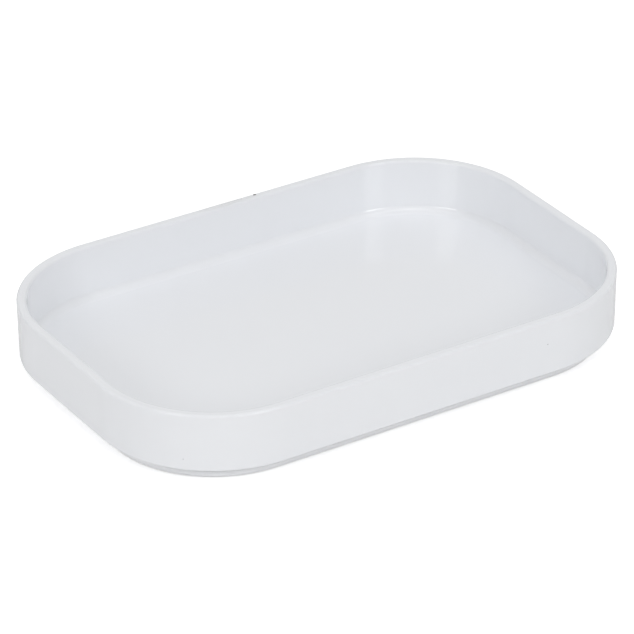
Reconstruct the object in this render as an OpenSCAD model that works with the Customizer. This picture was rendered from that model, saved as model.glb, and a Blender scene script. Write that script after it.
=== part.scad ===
// Flat tray for a small paint roller: one moulded dish with an upright wall, a base ring
// let into its underside, and four soft pads under the ring.
//
// The origin is at the middle of the surface that the tray stands on. +X runs along the
// tray, +Y across it and +Z up. The front is -Y and the left is -X.

/* [Tray] */
// Length over the wall, at the rim
tray_length = 250; // [220:1:360]
// Width over the wall, at the rim
tray_width = 168.5; // [145:0.5:240]
// Height of the rim's top over the surface that the tray stands on
tray_height = 33.5; // [24:0.5:60]
// Radius of the outside corners, seen from above
corner_radius = 55; // [40:1:65]

/* [Wall and rim] */
// Thickness of the wall, measured across the rim
wall_thickness = 4.4; // [3.4:0.1:6]
// How far each face of the wall leans, from the rim to its foot
wall_draft = 0.4; // [0.1:0.1:0.8]
// Radius of the two rounded edges of the rim
rim_edge_radius = 1.3; // [0.5:0.1:1.5]
// Radius of the edge at the foot of the wall's outer face
hem_edge_radius = 0.5; // [0.2:0.1:1]

/* [Floor] */
// Height of the wall's lower edge over the surface that the tray stands on
hem_height = 7.0; // [6.5:0.1:9]
// Height of the floor's upper face over the wall's lower edge
floor_rise = 1.0; // [0.2:0.1:1.2]
// Thickness of the floor
floor_thickness = 3; // [2.5:0.1:3.4]
// Radius of the cove between the floor and the wall
cove_radius = 4.7; // [2:0.1:7]
// How far the cove leans back where it meets the wall, which leaves a fine line there
cove_lean = 24; // [0:1:40]

/* [Base ring] */
// How far the base ring stands back from the wall's lower edge
ring_setback = 6; // [5:0.5:10]
// Width of the base ring, from its outer to its inner face
ring_width = 12; // [10:0.5:16]
// Radius of the ring's two lower edges
ring_edge_radius = 0.8; // [0.3:0.1:1]
// Width of the tongue that seats the ring in the floor's groove
tongue_width = 2; // [1.5:0.1:3]
// Height of that tongue
tongue_height = 1.2; // [0.8:0.1:1.4]
// Glue gap round the tongue
glue_gap = 0.1; // [0.05:0.05:0.2]

/* [Grip pads] */
// Diameter of a pad
pad_diameter = 8; // [6:0.5:9]
// How far a pad stands out of the ring
pad_stand = 0.5; // [0.3:0.1:1]
// Depth of the socket that holds a pad
socket_depth = 1; // [0.8:0.1:1.5]
// Glue gap round a pad in its socket
pad_gap = 0.1; // [0.05:0.05:0.2]
// Radius of a pad's lower edge
pad_edge_radius = 0.3; // [0.2:0.05:0.5]

/* [Hidden] */
$fn = 96;

WHITE = [0.91, 0.915, 0.93];
RING_WHITE = [0.88, 0.885, 0.9];
PAD_GREY = [0.72, 0.73, 0.74];

// Half the straight run of each side, between the centres of the corner arcs.
half_run_x = tray_length / 2 - corner_radius;
half_run_y = tray_width / 2 - corner_radius;

// Heights.
floor_top = hem_height + floor_rise;
floor_bottom = floor_top - floor_thickness;
rim_shoulder = tray_height - rim_edge_radius;
cove_top = floor_top + cove_radius * (1 - sin(cove_lean));

// Distances out from the centres of the corner arcs. They are the same along the straight
// sides, measured from the line between two centres.
wall_out_top = corner_radius;
wall_out_foot = wall_out_top - wall_draft;
wall_in_top = wall_out_top - wall_thickness;
wall_in_foot = wall_in_top - wall_draft;
ring_out = wall_out_foot - ring_setback;
ring_in = ring_out - ring_width;
ring_middle = (ring_out + ring_in) / 2;

// The floor pan drops below the wall's lower edge, inside it, and its edge is bevelled.
pan_inset = 3;
pan_bevel_out = 1.8;
pan_bevel_up = 1.1;
pan_out = wall_out_foot - pan_inset;

// A quarter of a disc with its corner at the origin, bulging towards +x and +y.
module quarter_disc(r) {
    intersection() {
        circle(r);
        square(r);
    }
}

// The cove's own material: what lies under a hollow of radius r in a square corner. The
// corner is at the origin. The hollow runs level into the floor, towards -x, and ends on
// the wall at the angle lean.
module cove_foot(r, lean) {
    difference() {
        translate([-r * cos(lean), 0]) square([r * cos(lean), r * (1 - sin(lean))]);
        translate([-r * cos(lean), r]) circle(r);
    }
}

// Carries a flat section round the tray. The section's x is the distance out from the
// centres of the corner arcs, and its y is the height.
module carried_round() {
    for (turn = [0, 180]) rotate(turn) {
        translate([half_run_x, half_run_y, 0]) rotate([90, 0, 0])
            linear_extrude(2 * half_run_y) children();
        translate([-half_run_x, half_run_y, 0]) rotate([90, 0, 90])
            linear_extrude(2 * half_run_x) children();
        translate([half_run_x, half_run_y, 0])
            rotate_extrude(angle = 90) children();
        translate([-half_run_x, half_run_y, 0]) rotate(90)
            rotate_extrude(angle = 90) children();
    }
}

// The wall, rim and floor, cut from the rim to the middle of a corner arc.
module shell_section() {
    difference() {
        polygon([
            [0, floor_bottom],
            [pan_out - pan_bevel_out, floor_bottom],
            [pan_out, floor_bottom + pan_bevel_up],
            [pan_out, hem_height],
            [wall_out_foot - hem_edge_radius, hem_height],
            [wall_out_foot - hem_edge_radius, hem_height + hem_edge_radius],
            [wall_out_foot, hem_height + hem_edge_radius],
            [wall_out_top, rim_shoulder],
            [wall_out_top - rim_edge_radius, rim_shoulder],
            [wall_out_top - rim_edge_radius, tray_height],
            [wall_in_top + rim_edge_radius, tray_height],
            [wall_in_top + rim_edge_radius, rim_shoulder],
            [wall_in_top, rim_shoulder],
            [wall_in_foot, cove_top],
            [wall_in_foot, floor_top],
            [0, floor_top]
        ]);
        translate([ring_middle - tongue_width / 2 - glue_gap, floor_bottom])
            square([tongue_width + 2 * glue_gap, tongue_height + glue_gap]);
    }
    translate([wall_out_top - rim_edge_radius, rim_shoulder]) quarter_disc(rim_edge_radius);
    translate([wall_in_top + rim_edge_radius, rim_shoulder])
        mirror([1, 0]) quarter_disc(rim_edge_radius);
    translate([wall_out_foot - hem_edge_radius, hem_height + hem_edge_radius])
        mirror([0, 1]) quarter_disc(hem_edge_radius);
    translate([wall_in_foot, floor_top]) cove_foot(cove_radius, cove_lean);
}

module ring_section() {
    shoulder = pad_stand + ring_edge_radius;
    translate([ring_in, shoulder]) square([ring_width, floor_bottom - shoulder]);
    translate([ring_in + ring_edge_radius, pad_stand])
        square([ring_width - 2 * ring_edge_radius, ring_edge_radius]);
    translate([ring_out - ring_edge_radius, shoulder])
        mirror([0, 1]) quarter_disc(ring_edge_radius);
    translate([ring_in + ring_edge_radius, shoulder])
        mirror([0, 1]) mirror([1, 0]) quarter_disc(ring_edge_radius);
    translate([ring_middle - tongue_width / 2, floor_bottom])
        square([tongue_width, tongue_height]);
}

// The moulded dish: floor pan, wall and rim.
module tray_shell() {
    color(WHITE) union() {
        carried_round() shell_section();
        translate([-half_run_x, -half_run_y, floor_bottom])
            cube([2 * half_run_x, 2 * half_run_y, floor_thickness]);
    }
}

// Puts its child at the middle of the ring's width, in the middle of each corner arc.
// sx and sy are -1 or 1, and say which corner.
module at_corner(sx, sy) {
    translate([
        sx * (half_run_x + ring_middle * cos(45)),
        sy * (half_run_y + ring_middle * sin(45)),
        0
    ]) children();
}

// The base ring, with its tongue above and a socket for a pad at each corner.
module foot_ring() {
    color(RING_WHITE) difference() {
        carried_round() ring_section();
        for (sx = [-1, 1], sy = [-1, 1]) at_corner(sx, sy)
            cylinder(h = pad_stand + socket_depth, d = pad_diameter + 2 * pad_gap);
    }
}

// One soft pad, standing on its rounded lower edge.
module grip_pad(sx, sy) {
    pad_height = pad_stand + socket_depth;
    color(PAD_GREY) at_corner(sx, sy) rotate_extrude() {
        translate([0, pad_edge_radius])
            square([pad_diameter / 2, pad_height - pad_edge_radius]);
        square([pad_diameter / 2 - pad_edge_radius, pad_edge_radius]);
        translate([pad_diameter / 2 - pad_edge_radius, pad_edge_radius])
            mirror([0, 1]) quarter_disc(pad_edge_radius);
    }
}

tray_shell();
foot_ring();
grip_pad(-1, -1);  // grip_pad_front_left
grip_pad(1, -1);  // grip_pad_front_right
grip_pad(-1, 1);  // grip_pad_rear_left
grip_pad(1, 1);  // grip_pad_rear_right
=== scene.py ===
# %% [markdown]
# # A flat tray for a small paint roller
#
# The tray is one moulded white dish. Its wall stands almost upright round a rounded
# rectangle, its rim is flat with two softened edges, and its floor is smooth and level.
# A base ring is let into its underside, and four rubber pads under the ring keep it still.
#
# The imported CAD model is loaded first. It fixes the place and size of every piece, so
# each new piece below is built into the space that its CAD node holds.

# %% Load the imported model
import math

import bmesh
import bpy
from mathutils import Matrix, Vector


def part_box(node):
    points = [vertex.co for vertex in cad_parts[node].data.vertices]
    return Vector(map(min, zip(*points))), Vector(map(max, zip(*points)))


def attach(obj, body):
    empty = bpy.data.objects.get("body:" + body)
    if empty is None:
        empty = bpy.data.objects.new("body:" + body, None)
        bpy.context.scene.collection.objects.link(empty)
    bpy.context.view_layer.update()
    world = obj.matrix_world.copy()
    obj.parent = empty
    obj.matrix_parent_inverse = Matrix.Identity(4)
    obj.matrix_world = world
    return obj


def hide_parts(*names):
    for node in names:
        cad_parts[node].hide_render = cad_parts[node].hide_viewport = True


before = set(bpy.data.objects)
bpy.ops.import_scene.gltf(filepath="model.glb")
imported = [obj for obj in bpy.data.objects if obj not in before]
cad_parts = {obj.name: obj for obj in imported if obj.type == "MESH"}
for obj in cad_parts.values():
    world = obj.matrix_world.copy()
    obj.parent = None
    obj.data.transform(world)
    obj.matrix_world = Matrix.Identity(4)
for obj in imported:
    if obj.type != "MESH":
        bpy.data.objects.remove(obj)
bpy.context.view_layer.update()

# %% [markdown]
# ## Sizes
#
# Lengths are in metres. The outer sizes are read from the CAD nodes. The few that a box
# can't tell, such as the wall's thickness, are named here once.
#
# Every round corner of the tray shares one centre, so a place on a section is given as its
# reach, the distance out from the line that joins those centres.

# %% Sizes read from the model, and the mould maker's own
MM = 0.001
shell_low, shell_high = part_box("tray_shell")
ring_low, ring_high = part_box("foot_ring")
pad_low, pad_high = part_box("grip_pad_rear_right")

corner_radius = 55 * MM
run_x = shell_high.x - corner_radius  # half the straight run of a long side
run_y = shell_high.y - corner_radius  # and of a short side

wall_thickness = 4.4 * MM
wall_draft = 0.4 * MM  # how far each face of the wall leans, so that it leaves the mould
floor_thickness = 3 * MM
rim_top = shell_high.z
floor_under = shell_low.z
floor_top = floor_under + floor_thickness
floor_rise = 1 * MM  # how far the floor's top stands over the wall's lower edge
hem_height = floor_top - floor_rise

wall_out_top = corner_radius
wall_out_foot = wall_out_top - wall_draft
wall_in_top = wall_out_top - wall_thickness
wall_in_foot = wall_in_top - wall_draft
ring_width = 12 * MM
ring_out = ring_high.x - run_x
ring_in = ring_out - ring_width
ring_middle = (ring_out + ring_in) / 2
print("straight runs, mm:", round(2000 * run_x, 2), round(2000 * run_y, 2))

# %% [markdown]
# ## A section carried round a quarter of the tray
#
# The tray is its own mirror image both ways, so only a quarter of it is built. A section,
# drawn as a few sharp points, is carried along half a long side, round one corner and
# along half a short side. Mirror makes the other three quarters.
#
# The cage keeps sharp edges. Each point of the section says how far from its edge the
# rounding starts, and one Bevel reads that as a weight, so every rounding can be changed in
# one place. On a square edge that distance is the radius. Weighted Normal then keeps the
# flat faces looking flat.

# %% The cage of a quarter
CORNER_STEPS = 48


def plan_stations():
    """Where the section stands along the quarter, and the way that it faces."""
    turns = [math.radians(90) * i / CORNER_STEPS for i in range(CORNER_STEPS + 1)]
    corner = [(run_x, run_y, math.sin(a), math.cos(a)) for a in turns]
    return [(0, run_y, 0, 1), *corner, (run_x, 0, 1, 0)]


def quarter_cage(name, section, closed):
    """section is (reach, height, rounding) from inside to outside over the top.
    A closed section goes back to its first point. An open one ends in the middle of the
    tray, so its two ends are joined by flat faces."""
    largest = max(radius for _, _, radius in section)
    bm = bmesh.new()
    weight = bm.edges.layers.float.new("bevel_weight_edge")
    rows = [
        [bm.verts.new((x + reach * ox, y + reach * oy, z)) for reach, z, _ in section]
        for x, y, ox, oy in plan_stations()
    ]
    sides = len(section) if closed else len(section) - 1
    for row, after in zip(rows, rows[1:]):
        for i in range(sides):
            k = (i + 1) % len(section)
            bm.faces.new((row[i], after[i], after[k], row[k]))
    if not closed:
        for end, turned in ((0, True), (-1, False)):
            middle = bm.verts.new((0, 0, section[end][1]))
            outline = [middle, *[row[end] for row in rows]]
            bm.faces.new(outline[::-1] if turned else outline)
    for row, after in zip(rows, rows[1:]):
        for i, (_, _, radius) in enumerate(section):
            bm.edges.get((row[i], after[i]))[weight] = radius / largest
    mesh = bpy.data.meshes.new(name)
    bm.to_mesh(mesh)
    bm.free()
    return mesh, largest


def whole_from_quarter(name, section, closed, bevel_steps=8):
    """The finished piece: Mirror, Bevel and Weighted Normal over the quarter's cage."""
    mesh, largest = quarter_cage(name, section, closed)
    for face in mesh.polygons:
        face.use_smooth = True
    piece = bpy.data.objects.new(name, mesh)
    bpy.context.scene.collection.objects.link(piece)
    mirror = piece.modifiers.new("other quarters", "MIRROR")
    mirror.use_axis = (True, True, False)
    mirror.merge_threshold = 0.01 * MM
    bevel = piece.modifiers.new("roundings", "BEVEL")
    bevel.limit_method = "WEIGHT"
    bevel.width = largest
    bevel.segments = bevel_steps
    bevel.use_clamp_overlap = False
    piece.modifiers.new("flat faces", "WEIGHTED_NORMAL")
    return piece


# %% [markdown]
# ## The dish
#
# The real dish is moulded in one shot: floor, wall and rim are one skin. Its section runs
# up the inner face of the wall, over the rim, down the outer face, under the wall's lower
# edge and in along the underside, where a groove takes the base ring's tongue.
#
# The floor turns up into the wall through a cove, so that a roller can reach all the paint
# and the dish wipes clean. The cove is a little short of a full quarter round: it leaves a
# fine line where it meets the wall, and the lamps show as thin crescents under that line.
# One sharp corner could not carry such a shape, so the section has two there. The lower is
# where the cove's end tangent crosses the floor, and its Bevel makes the arc.

# %% The dish
rim_edge = 1.3 * MM
hem_edge = 0.5 * MM
pan_edge = 0.4 * MM
pan_inset = 3 * MM  # from the wall's outer face to the floor pan that drops below its edge
pan_bevel_up = 1.1 * MM
pan_bevel_in = 1.8 * MM
pan_out = wall_out_foot - pan_inset
groove_half = 1.1 * MM
groove_depth = 1.3 * MM
cove_radius = 4.7 * MM
cove_lean = math.radians(24)
cove_rise = cove_radius * (1 - math.sin(cove_lean))
cove_tangent = cove_radius * math.tan((math.radians(90) - cove_lean) / 2)
cove_corner = wall_in_foot - cove_tangent * math.sin(cove_lean)
cove_line = 0.1 * MM  # the rounding of the fine line at the cove's top
cove_room = 0.15 * MM  # left between the cove's arc and that rounding
dish_section = [
    (cove_corner, floor_top, cove_tangent - cove_room),
    (wall_in_foot, floor_top + cove_rise, cove_line),
    (wall_in_top, rim_top, rim_edge),
    (wall_out_top, rim_top, rim_edge),
    (wall_out_foot, hem_height, hem_edge),
    (pan_out, hem_height, pan_edge),
    (pan_out, floor_under + pan_bevel_up, pan_edge),
    (pan_out - pan_bevel_in, floor_under, pan_edge),
    (ring_middle + groove_half, floor_under, 0),
    (ring_middle + groove_half, floor_under + groove_depth, 0),
    (ring_middle - groove_half, floor_under + groove_depth, 0),
    (ring_middle - groove_half, floor_under, 0),
]
dish = whole_from_quarter("moulded_dish", dish_section, closed=False, bevel_steps=14)
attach(dish, "root")
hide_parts("tray_shell")
print("dish cage faces:", len(dish.data.polygons))

# %% [markdown]
# ## The base ring
#
# The ring is a plain band, set back from the wall so that the tray seems to float. It is
# the same kind of section, closed on itself, with the tongue on top. Its four round
# sockets are cut with a Boolean. That names another object, so the whole stack is applied
# and the cutter is removed.

# %% The base ring and its sockets
glue_gap = 0.1 * MM
socket_depth = 1 * MM
socket_radius = (pad_high.x - pad_low.x) / 2 + glue_gap
pad_centre = (pad_low + pad_high) / 2
tongue_half = 1 * MM
tongue_top = ring_high.z
ring_edge = 0.8 * MM
tongue_edge = 0.2 * MM
ring_section = [
    (ring_in, ring_low.z, ring_edge),
    (ring_in, floor_under, 0),
    (ring_middle - tongue_half, floor_under, 0),
    (ring_middle - tongue_half, tongue_top, tongue_edge),
    (ring_middle + tongue_half, tongue_top, tongue_edge),
    (ring_middle + tongue_half, floor_under, 0),
    (ring_out, floor_under, 0),
    (ring_out, ring_low.z, ring_edge),
]


def apply_stack(piece, place=None):
    """Turns the piece's modifiers into plain mesh, then moves the mesh to its place."""
    now = piece.evaluated_get(bpy.context.evaluated_depsgraph_get())
    mesh = bpy.data.meshes.new_from_object(now)
    piece.modifiers.clear()
    piece.data = mesh
    if place:
        mesh.transform(place)
    return piece


def socket_cutter():
    """Four short round plugs, one at each corner of the ring."""
    bm = bmesh.new()
    for side_x in (-1, 1):
        for side_y in (-1, 1):
            centre = (side_x * pad_centre.x, side_y * pad_centre.y, ring_low.z)
            bmesh.ops.create_cone(
                bm,
                cap_ends=True,
                segments=48,
                radius1=socket_radius,
                radius2=socket_radius,
                depth=2 * socket_depth,
                matrix=Matrix.Translation(centre),
            )
    mesh = bpy.data.meshes.new("socket_cutter")
    bm.to_mesh(mesh)
    bm.free()
    cutter = bpy.data.objects.new("socket_cutter", mesh)
    bpy.context.scene.collection.objects.link(cutter)
    return cutter


ring = whole_from_quarter("base_ring", ring_section, closed=True, bevel_steps=5)
cutter = socket_cutter()
sockets = ring.modifiers.new("sockets", "BOOLEAN")
sockets.object = cutter
sockets.solver = "EXACT"
ring.modifiers.move(len(ring.modifiers) - 1, 2)
apply_stack(ring)
bpy.data.objects.remove(cutter)
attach(ring, "root")
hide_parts("foot_ring")
print("ring faces:", len(ring.data.polygons))

# %% [markdown]
# ## The rubber pads
#
# A pad is a small turned disc, so its half section is spun with Screw. Two shallow grooves
# run round its sole, which is what makes such a pad grip. The pad is made at the origin,
# and its stack and then its place are applied.

# %% The pads
pad_radius = (pad_high.x - pad_low.x) / 2
pad_height = pad_high.z - pad_low.z
pad_profile = [
    (0, pad_height),
    (pad_radius, pad_height),
    (pad_radius, 0.3 * MM),
    (pad_radius - 0.3 * MM, 0),
    (2.9 * MM, 0),
    (2.7 * MM, 0.2 * MM),
    (2.3 * MM, 0.2 * MM),
    (2.1 * MM, 0),
    (1.5 * MM, 0),
    (1.3 * MM, 0.2 * MM),
    (0.9 * MM, 0.2 * MM),
    (0.7 * MM, 0),
    (0, 0),
]


def turned_pad(name, place):
    """One pad, spun about its own middle and then set at place."""
    mesh = bpy.data.meshes.new(name)
    verts = [(reach, 0, height) for reach, height in pad_profile]
    mesh.from_pydata(verts, [(i, i + 1) for i in range(len(verts) - 1)], [])
    piece = bpy.data.objects.new(name, mesh)
    bpy.context.scene.collection.objects.link(piece)
    screw = piece.modifiers.new("turned", "SCREW")
    screw.steps = screw.render_steps = 48
    screw.use_merge_vertices = True
    screw.merge_threshold = 0.01 * MM
    screw.use_smooth_shade = True
    bevel = piece.modifiers.new("soft edges", "BEVEL")
    bevel.width = 0.08 * MM
    bevel.segments = 2
    bevel.limit_method = "ANGLE"
    piece.modifiers.new("flat faces", "WEIGHTED_NORMAL")
    return apply_stack(piece, Matrix.Translation(place))


pads = []
for corner in ("front_left", "front_right", "rear_left", "rear_right"):
    node_name = "grip_pad_" + corner
    low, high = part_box(node_name)
    pad = turned_pad("rubber_pad_" + corner, ((low.x + high.x) / 2, (low.y + high.y) / 2, low.z))
    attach(pad, "root")
    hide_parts(node_name)
    pads.append(pad)
print("pads:", len(pads), "with", len(pads[0].data.polygons), "faces each")

# %% [markdown]
# ## Helpers for materials
#
# Every finish here is one Principled shader with a few small patterns in front of it. The
# patterns read Object coordinates, and each piece sits at the origin with its place in its
# mesh, so a length in a pattern is a true length on the tray.
#
# Three helpers do the work. Grain is a plain noise, sized by how far apart its lumps are.
# A mark is a soft-edged ball or lozenge at one place, for a speck or a scuff. Hairlines
# are the same noise drawn out along one direction, of which only the peaks are kept.

# %% Helpers for materials
def new_material(name):
    """An empty Principled material: its tree, its shader and its Object coordinates."""
    material = bpy.data.materials.new(name)
    material.use_nodes = True
    tree = material.node_tree
    shader = tree.nodes["Principled BSDF"]
    place = tree.nodes.new("ShaderNodeTexCoord").outputs["Object"]
    return material, tree, shader, place


def give(piece, material):
    piece.data.materials.clear()
    piece.data.materials.append(material)


def grain(tree, place, spacing, detail=2.0):
    """Noise whose lumps are about spacing apart, from 0 to 1."""
    noise = tree.nodes.new("ShaderNodeTexNoise")
    noise.inputs["Scale"].default_value = 1 / spacing
    noise.inputs["Detail"].default_value = detail
    tree.links.new(place, noise.inputs["Vector"])
    return noise.outputs["Fac"]


def remap(tree, value, low, high, to_low=0.0, to_high=1.0):
    """Stretches low..high to to_low..to_high, and holds it there."""
    node = tree.nodes.new("ShaderNodeMapRange")
    tree.links.new(value, node.inputs["Value"])
    levels = {"From Min": low, "From Max": high, "To Min": to_low, "To Max": to_high}
    for socket, level in levels.items():
        node.inputs[socket].default_value = level
    return node.outputs["Result"]


def combine(tree, operation, a, b):
    """One Math node. b is a number or another node's output."""
    node = tree.nodes.new("ShaderNodeMath")
    node.operation = operation
    tree.links.new(a, node.inputs[0])
    if isinstance(b, (int, float)):
        node.inputs[1].default_value = b
    else:
        tree.links.new(b, node.inputs[1])
    return node.outputs[0]


def moved(tree, place, centre=(0, 0, 0), turn=0.0, size=(1, 1, 1)):
    """Object coordinates from centre, turned about Z, in units of size."""
    node = tree.nodes.new("ShaderNodeMapping")
    node.vector_type = "TEXTURE"
    node.inputs["Location"].default_value = centre
    node.inputs["Rotation"].default_value = (0, 0, turn)
    node.inputs["Scale"].default_value = size
    tree.links.new(place, node.inputs["Vector"])
    return node.outputs["Vector"]


def mark(tree, place, centre, size, edge=0.4):
    """1 inside a lozenge of half-lengths size about centre, 0 outside, soft at the edge."""
    away = tree.nodes.new("ShaderNodeVectorMath")
    away.operation = "LENGTH"
    tree.links.new(moved(tree, place, centre, 0, size), away.inputs[0])
    return remap(tree, away.outputs["Value"], 1 - edge, 1, 1, 0)


def hairlines(tree, place, turn, length, width, amount):
    """Fine straight scratches. A larger amount keeps more of them."""
    along = moved(tree, place, (0, 0, 0), turn, (length, width, length))
    peaks = grain(tree, along, 1, 1.0)
    return remap(tree, peaks, 0.76 - amount, 0.78 - amount)


def bump(tree, shader, heights):
    """Chains (height output, depth) pairs into the shader's normal."""
    normal = None
    for height, depth in heights:
        node = tree.nodes.new("ShaderNodeBump")
        node.inputs["Distance"].default_value = depth
        tree.links.new(height, node.inputs["Height"])
        if normal:
            tree.links.new(normal, node.inputs["Normal"])
        normal = node.outputs["Normal"]
    tree.links.new(normal, shader.inputs["Normal"])


def tint(tree, under, colour, amount):
    """Lays colour over under, an output or a colour, by amount."""
    node = tree.nodes.new("ShaderNodeMix")
    node.data_type = "RGBA"
    tree.links.new(amount, node.inputs["Factor"])
    if isinstance(under, tuple):
        node.inputs["A"].default_value = (*under, 1)
    else:
        tree.links.new(under, node.inputs["A"])
    node.inputs["B"].default_value = (*colour, 1)
    return node.outputs["Result"]


# %% [markdown]
# ## The polished plastic of the dish
#
# The dish is a white styrene plastic from a polished steel mould. It has no lacquer: its
# gloss is the plastic's own, with a fairly high index, so the lamps show in it as soft
# upright bands on the inner wall.
#
# Nothing moulded is perfectly flat. The skin is slightly wavy where the plastic shrank as
# it cooled, and has a finer orange peel on top. Use leaves hairline scratches on a floor
# and dulls a rim. This dish also has one grey scuff with a dark nick on its rear rim, and
# two small specks on its outer wall.
#
# A painted picture of such marks would be quicker, but small patterns stay sharp at any
# distance, and each can be moved or taken out by itself.

# %% The polished plastic of the dish
plastic_white = (0.957, 0.971, 0.998)
plastic_flow = (0.950, 0.965, 0.994)
scuff_grey = (0.36, 0.34, 0.31)
speck_grey = (0.1, 0.1, 0.105)

dish_plastic, tree, shader, place = new_material("polished white plastic")
shader.inputs["IOR"].default_value = 1.57

flow = remap(tree, grain(tree, place, 70 * MM), 0.4, 0.65)
colour = tint(tree, plastic_white, plastic_flow, flow)

scuff_streaks = moved(tree, place, (0, 0, 0), 0, (7 * MM, 0.7 * MM, 0.7 * MM))
scuff = combine(
    tree,
    "MULTIPLY",
    mark(tree, place, (5 * MM, 82.2 * MM, 33.3 * MM), (19 * MM, 2.6 * MM, 1.6 * MM), 0.6),
    remap(tree, grain(tree, scuff_streaks, 1, 2.0), 0.36, 0.52),
)
colour = tint(tree, colour, scuff_grey, combine(tree, "MULTIPLY", scuff, 0.16))

specks = [
    ((18.4 * MM, 82.7 * MM, 33.4 * MM), (1.0 * MM, 0.7 * MM, 0.5 * MM)),
    ((62.2 * MM, -84.2 * MM, 21.7 * MM), (0.27 * MM, 0.27 * MM, 0.27 * MM)),
    ((-108.8 * MM, -67.7 * MM, 12.2 * MM), (0.2 * MM, 0.2 * MM, 0.2 * MM)),
]
for centre, size in specks:
    colour = tint(tree, colour, speck_grey, mark(tree, place, centre, size))
tree.links.new(colour, shader.inputs["Base Color"])

height = tree.nodes.new("ShaderNodeSeparateXYZ")
tree.links.new(place, height.inputs["Vector"])
on_rim = remap(tree, height.outputs["Z"], rim_top - 0.9 * MM, rim_top - 0.2 * MM)
on_floor = remap(tree, height.outputs["Z"], floor_top + 1.5 * MM, floor_top + 0.5 * MM)
rim_wear = combine(tree, "MULTIPLY", on_rim, grain(tree, place, 6 * MM, 4.0))
scratches = combine(
    tree,
    "MAXIMUM",
    hairlines(tree, place, math.radians(12), 38 * MM, 0.3 * MM, 0.03),
    hairlines(tree, place, math.radians(-57), 25 * MM, 0.25 * MM, 0.02),
)
scratches = combine(tree, "MULTIPLY", scratches, on_floor)

dulling = combine(tree, "MULTIPLY", rim_wear, 0.04)
dulling = combine(tree, "ADD", dulling, combine(tree, "MULTIPLY", scuff, 0.25))
dulling = combine(tree, "ADD", dulling, combine(tree, "MULTIPLY", scratches, 0.16))
mottle = remap(tree, grain(tree, place, 25 * MM, 3.0), 0.3, 0.7, 0.03, 0.055)
tree.links.new(combine(tree, "ADD", dulling, mottle), shader.inputs["Roughness"])

bump(tree, shader, [
    (grain(tree, place, 30 * MM, 0.0), 0.015 * MM),
    (grain(tree, place, 3 * MM, 1.0), 0.0006 * MM),
    (combine(tree, "MULTIPLY", scratches, -1), 0.002 * MM),
])
give(dish, dish_plastic)
print("specks:", len(specks))

# %% [markdown]
# ## The satin plastic of the ring
#
# The ring is the same plastic, but its mould is sand-blasted, so its skin has a fine even
# grain that spreads the light. A quarter of a millimetre between lumps is a usual blast.
# Its whites are painted a little lighter than the dish's. This is painted light: it brightens
# the band of ring that lies in the shade under the wall's overhang.

# %% The satin plastic of the ring
ring_plastic, tree, shader, place = new_material("satin white plastic")
shader.inputs["IOR"].default_value = 1.57
ring_flow = remap(tree, grain(tree, place, 40 * MM), 0.4, 0.65)
# Painted light: both whites are set lighter than the dish's plastic, to lift the ring's shaded
# band under the wall's overhang.
tree.links.new(
    tint(tree, (0.975, 0.982, 0.998), (0.965, 0.974, 0.994), ring_flow),
    shader.inputs["Base Color"],
)
blast = grain(tree, place, 0.25 * MM, 1.0)
tree.links.new(remap(tree, blast, 0.3, 0.7, 0.24, 0.36), shader.inputs["Roughness"])
bump(tree, shader, [(blast, 0.004 * MM)])
give(ring, ring_plastic)

# %% [markdown]
# ## The rubber of the pads
#
# The pads are a soft grey rubber. Rubber has almost no gloss, a slightly uneven colour,
# and a dry, dusty look on the sole, where it has stood on the bench.

# %% The rubber of the pads
rubber, tree, shader, place = new_material("pale grey rubber")
shader.inputs["IOR"].default_value = 1.5
rubber_grey = (0.47, 0.48, 0.495)
rubber_pale = (0.55, 0.56, 0.57)
uneven = remap(tree, grain(tree, place, 1.6 * MM, 4.0), 0.35, 0.7)
colour = tint(tree, rubber_grey, rubber_pale, uneven)
low_down = tree.nodes.new("ShaderNodeSeparateXYZ")
tree.links.new(place, low_down.inputs["Vector"])
dust = combine(
    tree,
    "MULTIPLY",
    remap(tree, low_down.outputs["Z"], 0.3 * MM, 0.05 * MM),
    remap(tree, grain(tree, place, 0.7 * MM, 3.0), 0.45, 0.6),
)
tree.links.new(
    tint(tree, colour, (0.3, 0.29, 0.27), combine(tree, "MULTIPLY", dust, 0.5)),
    shader.inputs["Base Color"],
)
tree.links.new(remap(tree, uneven, 0, 1, 0.68, 0.84), shader.inputs["Roughness"])
bump(tree, shader, [(grain(tree, place, 0.15 * MM, 2.0), 0.01 * MM)])
for pad in pads:
    give(pad, rubber)
print("materials:", sorted(m.name for m in (dish_plastic, ring_plastic, rubber)))

# %% [markdown]
# ## The floor
#
# A product like this is shown cut out against plain white. A white floor under soft light
# comes out pale grey instead, so the floor glows a little as well. Only the camera sees the
# glow: if it lit the tray too, the outer walls would be brightened from below.
#
# The price is that the tray's own soft shadow on the floor almost disappears.

# %% The floor
floor_half = 8
floor_mesh = bpy.data.meshes.new("studio_floor")
floor_mesh.from_pydata(
    [(-floor_half, -floor_half, 0), (floor_half, -floor_half, 0),
     (floor_half, floor_half, 0), (-floor_half, floor_half, 0)],
    [],
    [(0, 1, 2, 3)],
)
studio_floor = bpy.data.objects.new("studio_floor", floor_mesh)
bpy.context.scene.collection.objects.link(studio_floor)
floor_paint, floor_tree, floor_shader, _ = new_material("pale floor paint")
floor_shader.inputs["Base Color"].default_value = (0.96, 0.96, 0.96, 1)
floor_shader.inputs["Roughness"].default_value = 0.9
floor_shader.inputs["Specular IOR Level"].default_value = 0
floor_shader.inputs["Emission Color"].default_value = (1, 1, 1, 1)
seen = floor_tree.nodes.new("ShaderNodeLightPath")
floor_glow = 0.45
lift = floor_tree.nodes.new("ShaderNodeMath")
lift.operation = "MULTIPLY"
lift.inputs[1].default_value = floor_glow
floor_tree.links.new(seen.outputs["Is Camera Ray"], lift.inputs[0])
floor_tree.links.new(lift.outputs[0], floor_shader.inputs["Emission Strength"])
give(studio_floor, floor_paint)

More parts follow.
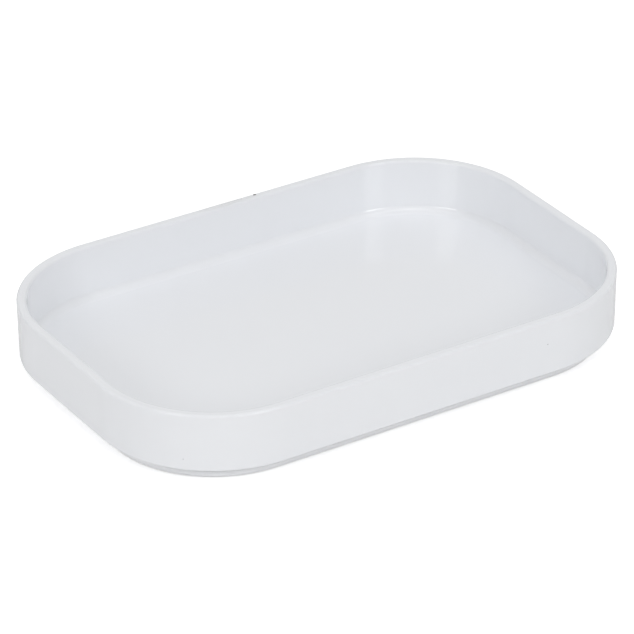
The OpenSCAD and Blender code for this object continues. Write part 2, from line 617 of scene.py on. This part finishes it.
# %% [markdown]
# ## The light
#
# A glossy white dish is drawn by what it mirrors, so the lamps are laid out as round a real
# table: two low softboxes in front, which make the upright bands on the inner wall, two
# booms high above them, and large dim fills that set how bright each wall is.
#
# Each lamp is given by where it stands and by how wide it looks from the tray. That way its
# reflection keeps its size if the lamp is moved nearer or further away.

# %% The light
world = bpy.data.worlds.new("soft white surroundings")
world.use_nodes = True
world.node_tree.nodes["Background"].inputs["Color"].default_value = (1, 1, 1, 1)
world.node_tree.nodes["Background"].inputs["Strength"].default_value = 0.29
bpy.context.scene.world = world


# Watts per square metre at which a lamp's face is as bright as white.
WHITE_FACE = 4


def softbox(name, heading, height, wide, tall, brightness, distance=4):
    """A soft light that faces the tray. heading is clockwise from +Y, seen from above.
    wide and tall are the angles that it fills, in degrees, as the tray sees it, and
    brightness is how bright its face is, where 1 is white."""
    light = bpy.data.lights.new(name, "AREA")
    light.shape = "RECTANGLE"
    light.size = 2 * distance * math.tan(math.radians(wide / 2))
    light.size_y = 2 * distance * math.tan(math.radians(tall / 2))
    light.energy = brightness * WHITE_FACE * light.size * light.size_y
    lamp = bpy.data.objects.new(name, light)
    h, e = math.radians(heading), math.radians(height)
    away = Vector((math.sin(h) * math.cos(e), math.cos(h) * math.cos(e), math.sin(e)))
    lamp.location = away * distance
    lamp.rotation_euler = away.to_track_quat("Z", "Y").to_euler()
    lamp.visible_camera = False
    bpy.context.scene.collection.objects.link(lamp)


softbox("right softbox", 168, 30, 19, 15, 3.7)
softbox("left softbox", 246, 30, 19, 15, 3.7)
softbox("right boom", 168, 69, 40, 10, 2.15)
softbox("left boom", 246, 69, 40, 10, 1.7)
softbox("front fill", 207, 35, 50, 40, 0.36)
softbox("right fill", 100, 35, 60, 50, 0.22)
softbox("left fill", 290, 35, 60, 50, 0.11)
softbox("back fill", 10, 35, 110, 50, 0.34)

# %% [markdown]
# ## The camera
#
# A long lens far away keeps the long sides almost parallel, as catalogue pictures do. The
# camera is placed by the point that it looks at and the direction that it looks from, which
# is easier to adjust than a place and three angles. The last angle is a very slight roll.

# %% The camera
aim = Vector((12.86, 21.83, 0.65)) * MM
azimuth, elevation, roll = (math.radians(v) for v in (-32.194, 28.955, -0.355))
distance = 1822.1 * MM
camera_data = bpy.data.cameras.new("camera")
camera_data.sensor_width = 36
camera_data.lens = 234.385
camera_data.clip_start = 0.05
camera_data.clip_end = 50
camera = bpy.data.objects.new("camera", camera_data)
bpy.context.scene.collection.objects.link(camera)
back = Vector((
    math.sin(azimuth) * math.cos(elevation),
    -math.cos(azimuth) * math.cos(elevation),
    math.sin(elevation),
))
turn = (back.to_track_quat("Z", "Y").to_matrix() @ Matrix.Rotation(roll, 3, "Z")).to_4x4()
camera.matrix_world = Matrix.Translation(aim + back * distance) @ turn
bpy.context.scene.camera = camera
bpy.context.scene.view_settings.view_transform = "Standard"
